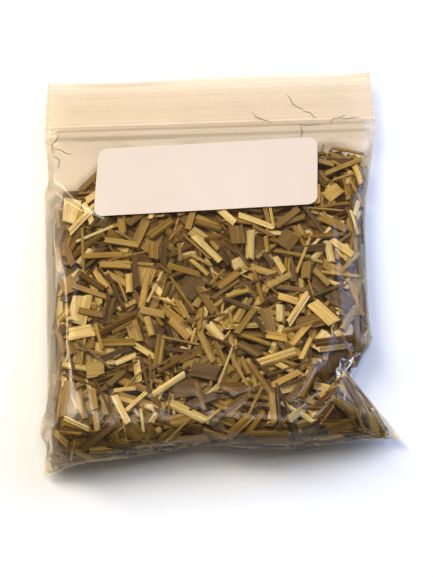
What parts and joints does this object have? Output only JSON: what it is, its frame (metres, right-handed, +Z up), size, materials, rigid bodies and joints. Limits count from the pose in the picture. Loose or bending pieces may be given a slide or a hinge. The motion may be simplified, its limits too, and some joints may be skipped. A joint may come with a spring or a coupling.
{
  "type": "zip bag of cut dried lemongrass",
  "caption": "Clear press-to-close bag lying on its back, filled with short cut pieces of dried lemongrass stalk and leaf, with a blank paper label under the zip.",
  "frame": {"origin": "under the middle of the bag, on the surface it lies on", "axes": "+X across the bag, +Y towards the zip and the lip, +Z up, out of the labelled face"},
  "size_m": [0.1016, 0.1284, 0.018],
  "materials": {
    "clear_film": "clear glossy 0.1 mm polyethylene film",
    "zip_tracks": "milky extruded polyethylene",
    "label_paper": "matt coated paper, blank",
    "cut_lemongrass": "dry, matt, loose cut pieces",
    "leaf_sheath": "dry straw with a faint sheen, fine veins along the length",
    "stem_straw": "dry straw, faint sheen on the round outside",
    "leaf_blade": "dry khaki leaf, matt",
    "stalk_wood": "dry fibrous splinters, matt"
  },
  "bodies": {
    "root": {"back_panel": "clear_film", "cut_lemongrass_mass": "cut_lemongrass", "front_panel": "clear_film", "label": "label_paper", "leaf_fold_01": "leaf_blade", "leaf_fold_02": "leaf_blade", "leaf_fold_03": "leaf_blade", "leaf_fold_04": "leaf_blade", "leaf_fold_05": "leaf_blade", "leaf_fold_06": "leaf_blade", "leaf_fold_07": "leaf_blade", "leaf_fold_08": "leaf_blade", "leaf_fold_09": "leaf_blade", "leaf_fold_10": "leaf_blade", "leaf_fold_11": "leaf_blade", "leaf_fold_12": "leaf_blade", "sheath_plate_01": "leaf_sheath", "sheath_plate_02": "leaf_sheath", "sheath_plate_03": "leaf_sheath", "sheath_plate_04": "leaf_sheath", "sheath_plate_05": "leaf_sheath", "sheath_plate_06": "leaf_sheath", "sheath_plate_07": "leaf_sheath", "sheath_plate_08": "leaf_sheath", "sheath_plate_09": "leaf_sheath", "sheath_plate_10": "leaf_sheath", "sheath_plate_11": "leaf_sheath", "sheath_plate_12": "leaf_sheath", "split_stem_01": "stem_straw", "split_stem_02": "stem_straw", "split_stem_03": "stem_straw", "split_stem_04": "stem_straw", "split_stem_05": "stem_straw", "split_stem_06": "stem_straw", "split_stem_07": "stem_straw", "split_stem_08": "stem_straw", "split_stem_09": "stem_straw", "split_stem_10": "stem_straw", "split_stem_11": "stem_straw", "stalk_sliver_01": "stalk_wood", "stalk_sliver_02": "stalk_wood", "stalk_sliver_03": "stalk_wood", "stalk_sliver_04": "stalk_wood", "stalk_sliver_05": "stalk_wood", "stalk_sliver_06": "stalk_wood", "stalk_sliver_07": "stalk_wood", "stalk_sliver_08": "stalk_wood", "stalk_sliver_09": "stalk_wood", "stalk_sliver_10": "stalk_wood", "stalk_sliver_11": "stalk_wood", "stalk_sliver_12": "stalk_wood", "stalk_sliver_13": "stalk_wood", "zip_groove_track": "zip_tracks", "zip_rib_track": "zip_tracks"}
  },
  "joints": []
}
